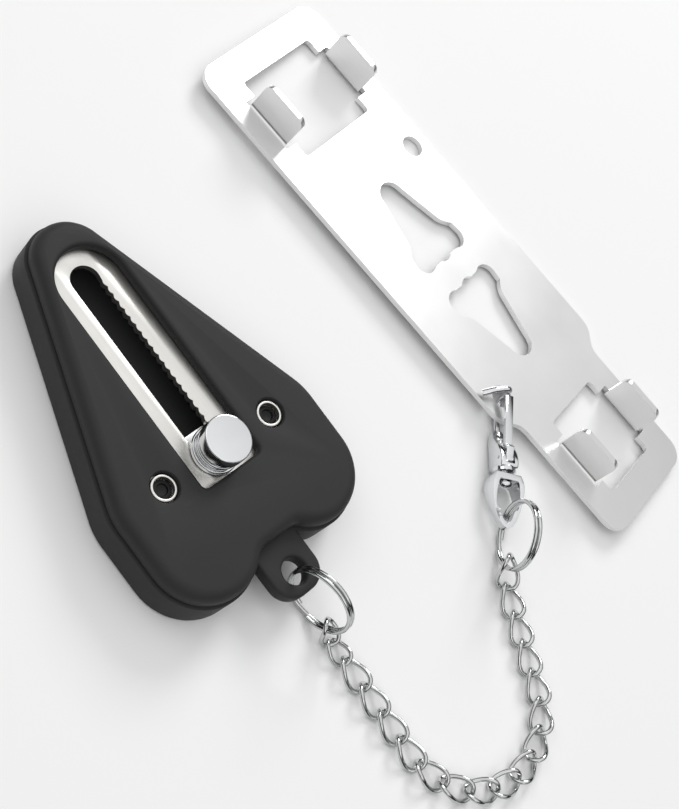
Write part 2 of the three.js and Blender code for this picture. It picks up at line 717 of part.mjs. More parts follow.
function addClasp() {
  const clasp = new THREE.Group();
  clasp.position.copy(eyePlace);
  clasp.rotation.z = rad(claspAngle);
  add(clasp, 'clasp_body', claspBody(), chrome);
  add(clasp, 'clasp_gate', claspGate(), chrome);
  add(clasp, 'gate_pin', acrossPin(hingeS, hingeZ, gatePinR, cheekHalf), nickel);
  add(clasp, 'gate_spring', gateSpring(), nickel);
  add(clasp, 'swivel_rivet', swivelRivet(), nickel);
  add(clasp, 'swivel_bail', swivelBail(), chrome);
  assembly.add(clasp);
}

// How far a link reaches from its centre to the joint with its neighbour, or with a ring.
function reach(link, neighbour) {
  if (!neighbour) return ringLinkOffset;
  const wires = (link.wire + neighbour.wire) / 2;
  return (link.halfLength + neighbour.halfLength - wires - linkSlack) / 2;
}

const chainLinks = [smallLink, smallLink, ...Array(curbCount).fill(curbLink)].map((link, i, all) => {
  const near = reach(link, all[i - 1]);
  const far = reach(link, all[i + 1]);
  const inner = i === 0 ? far : near;
  const atRing = i === 0 || i === all.length - 1;
  const floorZ = link.twist + link.wire / 2;
  const drop = ringCentreZ - floorZ;
  // A link at a ring slopes down until its other end is as low as the chain on the floor.
  const slope = atRing ? Math.asin(drop / (ringWireR + ringLinkOffset + inner)) : 0;
  const centreZ = floorZ + inner * Math.sin(slope);
  return { ...link, near, slope, run: (near + far) * Math.cos(slope), centreZ };
});

// Level unit vector at an angle from +X.
const along = (angle) => V3(Math.cos(angle), Math.sin(angle), 0);

// Centre of a ring that stands on the floor, hangs at a point and lies along a heading.
function ringCentre(point, angle) {
  const run = Math.sqrt(ringWireR ** 2 - (ringCentreZ - point.z) ** 2);
  return point.clone().addScaledVector(along(angle), run).setZ(ringCentreZ);
}

// Point on the floor plan where a link leaves a standing ring.
function ringExit(centre, angle, slope) {
  return centre.clone().addScaledVector(along(angle), ringWireR * Math.cos(slope));
}

// Headings of the links between two points: straight, a steady turn, then straight again.
function solveHeadings(start, end) {
  const walk = ([first, turn]) => {
    const p = start.clone();
    const headings = chainLinks.map(({ run }, i) => {
      const angle = first + turn * THREE.MathUtils.clamp(i - straightLinks, 0, bendLinks);
      p.addScaledVector(along(angle), run);
      return angle;
    });
    return { headings, miss: [p.x - end.x, p.y - end.y] };
  };
  let guess = [0, rad(18)];
  for (let round = 0; round < 30; round += 1) {
    const { miss } = walk(guess);
    const d = 1e-5;
    const dx = walk([guess[0] + d, guess[1]]).miss.map((m, k) => (m - miss[k]) / d);
    const dy = walk([guess[0], guess[1] + d]).miss.map((m, k) => (m - miss[k]) / d);
    const det = dx[0] * dy[1] - dy[0] * dx[1];
    guess = [
      guess[0] - (miss[0] * dy[1] - miss[1] * dy[0]) / det,
      guess[1] - (dx[0] * miss[1] - dx[1] * miss[0]) / det,
    ];
  }
  return walk(guess).headings;
}

function addRing(name, centre, angle) {
  const ring = add(assembly, name, splitRing(), nickel);
  ring.position.copy(centre);
  ring.rotation.z = angle;
}

function addChain() {
  const lugPoint = blockPlace.clone().addScaledVector(along(blockYaw), lugU + ringWire / 2);
  const firstCentre = ringCentre(lugPoint.setZ((lugBottom + lugTop) / 2), blockRingYaw);
  const bailPoint = eyePlace.clone()
    .addScaledVector(along(rad(claspAngle)), bailEnd - bailWire - ringWire / 2 - bailRingGap);
  const lastCentre = ringCentre(bailPoint.setZ(claspAxisZ), claspRingYaw);
  addRing('split_ring_block', firstCentre, blockRingYaw);
  addRing('split_ring_clasp', lastCentre, claspRingYaw);

  const start = ringExit(firstCentre, blockRingYaw, chainLinks[0].slope);
  const end = ringExit(lastCentre, claspRingYaw, chainLinks.at(-1).slope);
  const headings = solveHeadings(start, end);
  const p = start.clone();
  chainLinks.forEach((spec, i) => {
    const number = String(i - 1).padStart(2, '0');
    const name = i < 2 ? `chain_connector_${i + 1}` : `curb_link_${number}`;
    const link = add(assembly, name, chainLink(spec), nickel);
    const tilt = i === 0 ? spec.slope : -spec.slope;
    link.position.copy(p).addScaledVector(along(headings[i]), spec.near * Math.cos(spec.slope));
    link.position.z = spec.centreZ;
    link.rotation.set(0, tilt, headings[i], 'ZYX');
    p.addScaledVector(along(headings[i]), spec.run);
  });
}

addPlate();
addBlock();
addClasp();
addChain();

const box = new THREE.Box3().setFromObject(assembly, true);
const middle = box.getCenter(new THREE.Vector3());
assembly.position.set(-middle.x, -middle.y, -box.min.z);

export default assembly;
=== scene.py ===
"""Portable travel door lock: strike plate, lock block with a sliding thumb knob, and chain."""
import json
import math

import bmesh
import bpy
from bpy.props import FloatProperty, FloatVectorProperty, IntProperty, PointerProperty
from mathutils import Matrix, Vector
from mathutils.kdtree import KDTree


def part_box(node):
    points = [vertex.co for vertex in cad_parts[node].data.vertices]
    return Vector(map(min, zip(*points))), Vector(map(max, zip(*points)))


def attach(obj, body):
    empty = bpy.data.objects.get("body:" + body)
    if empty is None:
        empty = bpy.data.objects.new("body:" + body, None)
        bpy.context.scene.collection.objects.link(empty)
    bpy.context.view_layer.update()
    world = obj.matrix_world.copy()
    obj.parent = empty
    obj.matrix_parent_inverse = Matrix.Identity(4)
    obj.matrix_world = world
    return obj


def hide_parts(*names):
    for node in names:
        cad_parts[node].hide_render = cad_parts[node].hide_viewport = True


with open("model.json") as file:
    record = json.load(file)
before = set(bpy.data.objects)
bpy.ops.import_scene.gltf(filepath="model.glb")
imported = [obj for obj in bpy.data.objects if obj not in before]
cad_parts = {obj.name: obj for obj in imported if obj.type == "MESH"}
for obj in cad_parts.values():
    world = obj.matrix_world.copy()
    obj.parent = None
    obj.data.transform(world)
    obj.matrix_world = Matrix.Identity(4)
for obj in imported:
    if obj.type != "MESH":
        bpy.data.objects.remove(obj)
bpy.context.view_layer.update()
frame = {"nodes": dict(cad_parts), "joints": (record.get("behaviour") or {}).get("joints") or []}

bl_info = {
    "name": "Travel door lock",
    "version": (1, 0, 0),
    "blender": (4, 5, 0),
    "location": "View3D > Sidebar > Door lock",
    "description": "Models a portable travel door lock piece by piece",
    "category": "Add Mesh",
}

MM = 0.001
Z = Vector((0, 0, 1))
JOINTS = {joint["name"]: joint for joint in frame["joints"]}


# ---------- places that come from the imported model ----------
def pivot(joint):
    return Vector(JOINTS[joint]["pos_m"])


def axis(joint):
    return Vector(JOINTS[joint]["axis"]).normalized()


def place(origin, along, up=Z):
    """Matrix from a piece's own millimetres to the row frame, with its X along and its Z near up."""
    x = along.normalized()
    y = up.cross(x).normalized()
    z = x.cross(y)
    turn = Matrix((x, y, z)).transposed().to_4x4()
    return Matrix.Translation(origin) @ turn @ Matrix.Scale(MM, 4)


def on_floor(point):
    return Vector((point.x, point.y, 0))


KNOB_U = 4.9  # knob's rest place along the block
SWIVEL_S = 22.4  # from the plate's eye to the clasp's rear face
SWIVEL_Z = 3.7
BLOCK_AXIS = -axis("knob_slide")
BLOCK = place(on_floor(pivot("knob_turn")) - BLOCK_AXIS * KNOB_U * MM, BLOCK_AXIS)
CLASP_AXIS = axis("clasp_swivel")
CLASP = place(on_floor(pivot("clasp_swivel")) - CLASP_AXIS * SWIVEL_S * MM, CLASP_AXIS)

# Other places and sizes in millimetres; the block's count from the heart's own centre
EYELET_HOLE = 3.6  # radius of the front shell's round holes
EYELET_U, EYELET_V = 5.3, 17.5
SCREWS = (("tip", (-54.8, 0)), ("right", (24, 20)), ("left", (24, -20)))
BAIL_GAP = 0.3  # between the clasp's rear face and the bail, and between the bail and the ball
BAIL_HUB = 1.7  # thickness of the bail's end at the swivel

# ---------- studio ----------
CAMERA_PLACE = (-0.02459, -0.25370, 0.33231)
CAMERA_BACK = Vector((-0.04697, -0.60229, 0.79689))  # against the view
CAMERA_RIGHT = Vector((0.65757, 0.58189, 0.47855))
CAMERA_LENS = 73.6  # millimetres, on a sensor 36 high
FLOOR_SIZE, FLOOR_DROP = 6.0, 0.0001
SOFT_BOXES = (  # name, place, side in metres, watts
    ("key", (-0.50, 1.30, 0.90), 0.6, 11.0),
    ("side", (-1.15, -0.10, 0.95), 0.8, 2.0),
    ("fill", (0.85, -0.75, 0.80), 0.6, 1.0),
)
SKY = ((0.0, 0.25), (0.06, 0.03), (0.45, 0.04), (0.62, 0.80), (1.0, 1.1))  # height, glow


# ---------- settings ----------
def length(name, description, default):
    return FloatProperty(name=name, description=description, default=default, unit="LENGTH", precision=5)


def colour(name, description, default):
    return FloatVectorProperty(
        name=name, description=description, default=default, subtype="COLOR", size=3, min=0, max=1)


class PlateSettings(bpy.types.PropertyGroup):
    edge: length("Edge", "Width of the broken edge round the sheet", 0.00016)


class BlockSettings(bpy.types.PropertyGroup):
    height: length("Height", "Height of the block above the door", 0.0142)
    seam: length("Seam", "Height of the seam between the two shells", 0.0092)
    step: length("Step", "How far the rear shell stands out past the front one", 0.0007)
    rim: length("Rim", "Radius of the front shell's rounded rim", 0.0030)
    lip: length("Lip", "Radius of the soft edge round the track's window", 0.0011)
    tooth_pitch: length("Tooth pitch", "Distance between the scallops of the track", 0.0022)


class KnobSettings(bpy.types.PropertyGroup):
    radius: length("Radius", "Radius of the thumb knob", 0.00595)
    top: length("Top", "Height of the knob's flat top", 0.0201)
    groove: length("Groove", "Radius at the bottom of the knob's grooves", 0.0047)


class ChainSettings(bpy.types.PropertyGroup):
    ring: length("Ring", "Outside diameter of a split ring", 0.0186)
    ring_wire: length("Ring wire", "Wire diameter of a split ring", 0.0011)
    link_wire: length("Link wire", "Wire diameter of a curb link", 0.0012)
    small_wire: length("Small wire", "Wire diameter of a connecting link", 0.0011)
    link_steps: IntProperty(name="Link steps", description="Sections round one link", default=56, min=16)


class ClaspSettings(bpy.types.PropertyGroup):
    hook_wire: length("Hook wire", "Diameter of the hook", 0.0018)
    bail_length: length("Bail length", "Length of the swivel bail", 0.0146)
    bail_width: length("Bail width", "Width of the swivel bail", 0.0096)
    bail_strip: length("Bail strip", "Thickness of the bail's strip", 0.0013)


class FinishSettings(bpy.types.PropertyGroup):
    shell: colour("Shell", "Matt black moulding", (0.030, 0.030, 0.031))
    sheet: colour("Sheet", "Bright steel sheet", (0.82, 0.82, 0.82))
    track: colour("Track", "Brushed steel track", (0.74, 0.73, 0.70))
    chrome: colour("Chrome", "Polished chrome", (0.74, 0.75, 0.76))
    nickel: colour("Nickel", "Nickel-plated wire", (0.58, 0.59, 0.59))
    black_steel: colour("Black steel", "Blackened rivets and screws", (0.012, 0.012, 0.012))
    floor: colour("Floor", "Pale studio floor", (0.93, 0.93, 0.93))


# ---------- modelling helpers ----------
def deselect():
    if bpy.context.object and bpy.context.object.mode != "OBJECT":
        bpy.ops.object.mode_set(mode="OBJECT")
    bpy.ops.object.select_all(action="DESELECT")


def select(piece):
    deselect()
    piece.select_set(True)
    bpy.context.view_layer.objects.active = piece


def loft(name, loops):
    """Closed solid through loops of (x, y, z) points, each with the same number of points."""
    deselect()
    bpy.ops.mesh.primitive_circle_add(vertices=len(loops[0]), fill_type="NGON")
    piece = bpy.context.object
    piece.name = name
    for vertex, point in zip(piece.data.vertices, loops[0]):
        vertex.co = point
    bpy.ops.object.mode_set(mode="EDIT")
    bpy.ops.mesh.select_mode(type="FACE")
    bpy.ops.mesh.select_all(action="SELECT")
    here = loops[0]
    for following in loops[1:]:
        bpy.ops.mesh.extrude_region_move()
        shape = bmesh.from_edit_mesh(piece.data)
        spots = KDTree(len(here))
        for i, point in enumerate(here):
            spots.insert(point, i)
        spots.balance()
        for vertex in [v for v in shape.verts if v.select]:
            vertex.co = following[spots.find(vertex.co)[1]]
        bmesh.update_edit_mesh(piece.data)
        here = following
    bpy.ops.mesh.select_all(action="SELECT")
    bpy.ops.mesh.normals_make_consistent(inside=False)
    bpy.ops.object.mode_set(mode="OBJECT")
    return piece


def level(points, z):
    return [(x, y, z) for x, y in points]


def prism(name, points, low, high):
    return loft(name, [level(points, low), level(points, high)])


def circle(radius, steps=64, centre=(0, 0)):
    return [(centre[0] + radius * math.cos(a), centre[1] + radius * math.sin(a))
            for a in (2 * math.pi * i / steps for i in range(steps))]


def turned(name, profile, steps=64, centre=(0, 0)):
    """Solid of revolution about Z through (radius, z) points from the bottom to the top."""
    return loft(name, [level(circle(r, steps, centre), z) for r, z in profile])


def rounded_profile(radius, low, high, edge, steps=3):
    """Side of a disc with both of its edges rounded, as (radius, z) points."""
    turn = [i / steps * math.pi / 2 for i in range(steps + 1)]
    bottom = [(radius - edge + edge * math.sin(a), low + edge - edge * math.cos(a)) for a in turn]
    top = [(radius - edge + edge * math.cos(a), high - edge + edge * math.sin(a)) for a in turn]
    return bottom + top


def modify(piece, kind, **settings):
    select(piece)
    step = piece.modifiers.new(kind.title(), kind)
    for key, value in settings.items():
        setattr(step, key, value)
    bpy.ops.object.modifier_apply(modifier=step.name)


def combine(piece, tool, operation="DIFFERENCE"):
    modify(piece, "BOOLEAN", object=tool, operation=operation, solver="EXACT")
    select(tool)
    bpy.ops.object.delete()
    return piece


def break_edges(piece, width, segments=2, angle=35):
    modify(piece, "BEVEL", width=width, segments=segments, limit_method="ANGLE",
           angle_limit=math.radians(angle), harden_normals=False)


def settle(piece, matrix, body, nodes, slot, smooth=40):
    """Puts a finished piece in its place, with its finish, and joins it to its body."""
    select(piece)
    piece.matrix_world = matrix
    bpy.ops.object.transform_apply(location=True, rotation=True, scale=True)
    bpy.ops.object.shade_smooth_by_angle(angle=math.radians(smooth))
    piece.data.materials.clear()
    piece.data.materials.append(MATERIALS[slot])
    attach(piece, body)
    if nodes:
        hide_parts(*nodes)


def wire(name, points, diameter, closed=False, sides=3):
    """Round wire through close-set points."""
    deselect()
    bpy.ops.curve.primitive_nurbs_path_add()
    piece = bpy.context.object
    piece.name = name
    piece.data.splines.clear()
    run = piece.data.splines.new("POLY")
    run.points.add(len(points) - 1)
    for spot, point in zip(run.points, points):
        spot.co = (*point, 1)
    run.use_cyclic_u = closed
    piece.data.dimensions = "3D"
    piece.data.twist_mode = "MINIMUM"
    piece.data.bevel_depth = diameter / 2
    piece.data.bevel_resolution = sides
    piece.data.use_fill_caps = not closed
    bpy.ops.object.convert(target="MESH")
    return bpy.context.object


def through(points, steps=10):
    """Centripetal Catmull-Rom curve through the points."""
    knots = [Vector(p) for p in points]
    knots = [2 * knots[0] - knots[1], *knots, 2 * knots[-1] - knots[-2]]
    curve = []
    for a, b, c, d in zip(knots, knots[1:], knots[2:], knots[3:]):
        times = [0.0]
        for p, q in ((a, b), (b, c), (c, d)):
            times.append(times[-1] + (q - p).length ** 0.5)
        t0, t1, t2, t3 = times
        for i in range(steps):
            t = t1 + (t2 - t1) * i / steps
            ab = a.lerp(b, (t - t0) / (t1 - t0))
            bc = b.lerp(c, (t - t1) / (t2 - t1))
            cd = c.lerp(d, (t - t2) / (t3 - t2))
            left = ab.lerp(bc, (t - t0) / (t2 - t0))
            right = bc.lerp(cd, (t - t1) / (t3 - t1))
            curve.append(left.lerp(right, (t - t1) / (t2 - t1)))
    return curve + [knots[-2]]


# ---------- outlines, in millimetres ----------
def arc(x, y, radius, start, end, step=math.radians(4)):
    count = max(2, math.ceil(abs(end - start) / step))
    angles = [start + (end - start) * i / count for i in range(count + 1)]
    return [(x + radius * math.cos(a), y + radius * math.sin(a)) for a in angles]


TIP_U, TIP_R = -49.6, 10.7
LOBE_U, LOBE_V, LOBE_R = 20.0, 17.0, 15.0
SHOULDER_U, SHOULDER_R = 7.7, 18.0
NOTCH_R = 3.6


def heart(inset):
    """Outline of the block, moved in by inset; every inset gives the same number of points."""
    shoulder_v = LOBE_V + LOBE_R - SHOULDER_R
    run = math.hypot(SHOULDER_U - TIP_U, shoulder_v)
    flank = (math.pi / 2 + math.atan2(shoulder_v, SHOULDER_U - TIP_U)
             + math.asin((SHOULDER_R - TIP_R) / run))
    bridge_v = NOTCH_R * 1.25
    inner = math.asin((LOBE_V - bridge_v) / (LOBE_R + NOTCH_R))
    notch_u = LOBE_U + (LOBE_R + NOTCH_R) * math.cos(inner)
    half = (arc(LOBE_U, LOBE_V, LOBE_R - inset, -inner, math.pi / 2)
            + arc(SHOULDER_U, shoulder_v, SHOULDER_R - inset, math.pi / 2, flank)
            + arc(TIP_U, 0, TIP_R - inset, flank, math.pi))
    notch = arc(notch_u, bridge_v, NOTCH_R + inset, math.pi, math.pi - inner)[:-1]
    half = notch + half[:-1]
    tip = (TIP_U - TIP_R + inset, 0)
    return half + [tip] + [(x, -y) for x, y in reversed(half)]


def window(half, tip, end, corner):
    """Straight-sided opening with a round tip."""
    return (arc(tip, 0, half, math.pi / 2, math.pi * 1.5)
            + arc(end - corner, -half + corner, corner, -math.pi / 2, 0)
            + arc(end - corner, half - corner, corner, 0, math.pi / 2))


# ---------- finishes ----------
class Flow:
    """A value in a material's nodes that can be used in sums."""

    def __init__(self, finish, socket):
        self.finish = finish
        self.socket = socket

    def sum_with(self, operation, *others):
        values = {0: self, **{i + 1: other for i, other in enumerate(others)}}
        return self.finish.node("ShaderNodeMath", {"operation": operation}, values)

    def __add__(self, other):
        return self.sum_with("ADD", other)

    __radd__ = __add__

    def __mul__(self, other):
        return self.sum_with("MULTIPLY", other)

    __rmul__ = __mul__

    def __sub__(self, other):
        return self.sum_with("SUBTRACT", other)

    def __rsub__(self, other):
        return self * -1 + other

    def __pow__(self, other):
        return self.sum_with("POWER", other)

    def clamped(self):
        return self.sum_with("MAXIMUM", 0).sum_with("MINIMUM", 1)


class Finish:
    """A material with a Principled shader, built from node calls."""

    def __init__(self, name, **constants):
        self.material = bpy.data.materials.new(name)
        self.material.use_nodes = True
        self.tree = self.material.node_tree
        self.shader = self.tree.nodes["Principled BSDF"]
        for key, value in constants.items():
            self.shader.inputs[key.replace("_", " ")].default_value = value

    def node(self, kind, settings=None, inputs=None, output=0):
        made = self.tree.nodes.new(kind)
        for key, value in (settings or {}).items():
            if key == "stops":
                for i, (position, shade) in enumerate(value):
                    stop = made.color_ramp.elements[i] if i < 2 else made.color_ramp.elements.new(position)
                    stop.position = position
                    stop.color = (*shade, 1) if isinstance(shade, tuple) else (shade, shade, shade, 1)
            else:
                setattr(made, key, value)
        for key, value in (inputs or {}).items():
            if isinstance(value, Flow):
                self.tree.links.new(value.socket, made.inputs[key])
            else:
                made.inputs[key].default_value = value
        return Flow(self, made.outputs[output])

    def feed(self, **sockets):
        for key, value in sockets.items():
            self.tree.links.new(value.socket, self.shader.inputs[key.replace("_", " ")])
        return self

    def position(self, turn=0.0, stretch=(1, 1, 1)):
        """The place on the object, turned about Z and then stretched."""
        spot = self.node("ShaderNodeTexCoord", output="Object")
        turned_spot = self.node(
            "ShaderNodeVectorRotate", {"rotation_type": "Z_AXIS"}, {"Vector": spot, "Angle": -turn})
        return self.node("ShaderNodeVectorMath", {"operation": "MULTIPLY"}, {0: turned_spot, 1: stretch})

    def noise(self, spot, scale, detail=3.0, roughness=0.5):
        return self.node("ShaderNodeTexNoise", None,
                         {"Vector": spot, "Scale": scale, "Detail": detail, "Roughness": roughness})

    def tint(self, factor, base, low, high):
        """The base colour, made darker or lighter by a share between low and high."""
        dark, light = (tuple(min(1.0, c * share) for c in base) for share in (low, high))
        return self.node("ShaderNodeMix", {"data_type": "RGBA"},
                         {0: factor.clamped(), 6: (*dark, 1), 7: (*light, 1)}, output=2)

    def bump(self, height, distance, strength=1.0):
        return self.node("ShaderNodeBump", None,
                         {"Height": height, "Distance": distance, "Strength": strength})


MATERIALS = {}


def make_finishes(colours):
    """Every material of the lock, by its slot's name."""
    shell = Finish("matt_black_moulding", Roughness=0.5, Specular_IOR_Level=0.22)
    spot = shell.position()
    grain = shell.noise(spot, 2600, 2.0)
    cloud = shell.noise(spot, 60, 3.0)
    scuff = shell.noise(shell.position(stretch=(1, 0.25, 1)), 900, 4.0, 0.7) ** 6
    shell.feed(
        Base_Color=shell.tint(cloud * 0.7 + grain * 0.3, colours.shell, 0.86, 1.14),
        Roughness=(cloud * 0.14 + grain * 0.10 + 0.46 - scuff * 0.5).clamped(),
        Normal=shell.bump(grain + cloud * 0.3, 0.00003, 0.55))
    MATERIALS["matt_black"] = shell.material

    sheet = Finish("bright_steel_sheet", Metallic=1.0, Roughness=0.3)
    spot = sheet.position()
    smudge = sheet.noise(spot, 42, 4.0, 0.55)
    rolling = sheet.noise(sheet.position(stretch=(0.06, 1.6, 1)), 1500, 3.0)
    speck = sheet.noise(spot, 3200, 1.0)
    sheet.feed(
        Base_Color=sheet.tint(smudge * 0.8 + rolling * 0.2, colours.sheet, 0.93, 1.04),
        Roughness=(smudge * 0.16 + rolling * 0.06 + 0.22).clamped(),
        Normal=sheet.bump(rolling * 0.6 + speck * 0.4, 0.000004, 0.5))
    MATERIALS["bright_steel"] = sheet.material

    yaw = math.atan2(BLOCK_AXIS.y, BLOCK_AXIS.x)
    track = Finish("brushed_steel_track", Metallic=1.0, Roughness=0.34)
    streak = track.noise(track.position(yaw, (0.05, 1.8, 1)), 2600, 3.0)
    patch = track.noise(track.position(), 160, 3.0)
    track.feed(
        Base_Color=track.tint(streak * 0.6 + patch * 0.4, colours.track, 0.84, 1.06),
        Roughness=(streak * 0.14 + patch * 0.12 + 0.24).clamped(),
        Normal=track.bump(streak + patch * 0.4, 0.000012, 0.6))
    MATERIALS["brushed_track"] = track.material

    chrome = Finish("polished_chrome", Metallic=1.0, Roughness=0.08)
    film = chrome.noise(chrome.position(), 210, 4.0, 0.6)
    wear = chrome.noise(chrome.position(), 1800, 3.0, 0.7)
    chrome.feed(
        Base_Color=chrome.tint(film, colours.chrome, 0.94, 1.03),
        Roughness=(film * 0.07 + wear * 0.05 + 0.03).clamped(),
        Normal=chrome.bump(wear + film * 0.5, 0.000003, 0.35))
    MATERIALS["polished_chrome"] = chrome.material

    nickel = Finish("bright_nickel", Metallic=1.0, Roughness=0.16)
    film = nickel.noise(nickel.position(), 320, 3.0, 0.6)
    wear = nickel.noise(nickel.position(), 2400, 3.0, 0.7)
    nickel.feed(
        Base_Color=nickel.tint(film * 0.6 + wear * 0.4, colours.nickel, 0.88, 1.06),
        Roughness=(film * 0.08 + wear * 0.06 + 0.04).clamped(),
        Normal=nickel.bump(wear, 0.000006, 0.5))
    MATERIALS["bright_nickel"] = nickel.material

    black = Finish("black_steel", Metallic=0.7, Roughness=0.45)
    bloom = black.noise(black.position(), 1400, 3.0)
    black.feed(
        Base_Color=black.tint(bloom, colours.black_steel, 0.7, 1.5),
        Roughness=(bloom * 0.2 + 0.38).clamped(),
        Normal=black.bump(bloom, 0.000008, 0.5))
    MATERIALS["black_steel"] = black.material

    floor = Finish("pale_floor", Roughness=0.7, Specular_IOR_Level=0.2)
    paper = floor.noise(floor.position(), 3.0, 2.0)
    floor.feed(Base_Color=floor.tint(paper, colours.floor, 0.985, 1.0))
    MATERIALS["pale_floor"] = floor.material


# ---------- operators ----------
class LOCK_OT_stage(bpy.types.Operator):
    """Adds the camera, the lights and the floor, and makes the finishes"""
    bl_idname = "lock.stage"
    bl_label = "Studio and finishes"

    def execute(self, context):
        make_finishes(context.scene.lock_finish)
        self.camera(context)
        self.floor()
        self.lights(context)
        context.scene.view_settings.view_transform = "Standard"
        return {"FINISHED"}

    def camera(self, context):
        deselect()
        bpy.ops.object.camera_add()
        camera = context.object
        camera.name = "camera"
        up = CAMERA_BACK.cross(CAMERA_RIGHT).normalized()
        right = up.cross(CAMERA_BACK).normalized()
        turn = Matrix((right, up, CAMERA_BACK.normalized())).transposed().to_4x4()
        camera.matrix_world = Matrix.Translation(CAMERA_PLACE) @ turn
        camera.data.sensor_fit = "VERTICAL"
        camera.data.sensor_height = 36.0
        camera.data.lens = CAMERA_LENS
        camera.data.clip_start = 0.01
        context.scene.camera = camera

    def floor(self):
        deselect()
        bpy.ops.mesh.primitive_plane_add(size=FLOOR_SIZE, location=(0, 0, -FLOOR_DROP))
        floor = bpy.context.object
        floor.name = "studio_floor"
        bpy.ops.object.transform_apply()
        floor.data.materials.append(MATERIALS["pale_floor"])

    def lights(self, context):
        for name, spot, size, power in SOFT_BOXES:
            deselect()
            bpy.ops.object.light_add(type="AREA", location=spot)
            lamp = context.object
            lamp.name = name
            lamp.data.size = size
            lamp.data.energy = power
            lamp.rotation_euler = Vector(spot).to_track_quat("Z", "Y").to_euler()
        world = context.scene.world or bpy.data.worlds.new("studio")
        context.scene.world = world
        world.use_nodes = True
        nodes, links = world.node_tree.nodes, world.node_tree.links
        spot = nodes.new("ShaderNodeTexCoord")
        split = nodes.new("ShaderNodeSeparateXYZ")
        ramp = nodes.new("ShaderNodeValToRGB")
        stops = ramp.color_ramp.elements
        for i, (height, glow) in enumerate(SKY):
            stop = stops[i] if i < 2 else stops.new(height)
            stop.position = height
            stop.color = (glow, glow, glow, 1)
        links.new(spot.outputs["Generated"], split.inputs[0])
        links.new(split.outputs["Z"], ramp.inputs[0])
        links.new(ramp.outputs[0], nodes["Background"].inputs["Color"])
        nodes["Background"].inputs["Strength"].default_value = 1.0


class LOCK_OT_plate(bpy.types.Operator):
    """Finishes the strike plate: one pressed sheet with four bent claws"""
    bl_idname = "lock.plate"
    bl_label = "Strike plate"

    def execute(self, context):
        settings = context.scene.lock_plate
        select(frame["nodes"]["strike_plate"])
        bpy.ops.object.duplicate()
        sheet = context.object
        for key in list(sheet.keys()):
            if key.startswith("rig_"):
                del sheet[key]
        sheet.parent = None
        sheet.name = "strike_sheet"
        bpy.ops.object.mode_set(mode="EDIT")
        bpy.ops.mesh.select_all(action="SELECT")
        bpy.ops.mesh.remove_doubles(threshold=0.002 * MM)
        bpy.ops.mesh.dissolve_limited(angle_limit=math.radians(0.5))
        bpy.ops.object.mode_set(mode="OBJECT")
        break_edges(sheet, settings.edge, 2, 40)
        settle(sheet, Matrix.Identity(4), "plate", ["strike_plate"], "bright_steel", 32)
        modify(sheet, "WEIGHTED_NORMAL", keep_sharp=True, weight=80)
        return {"FINISHED"}


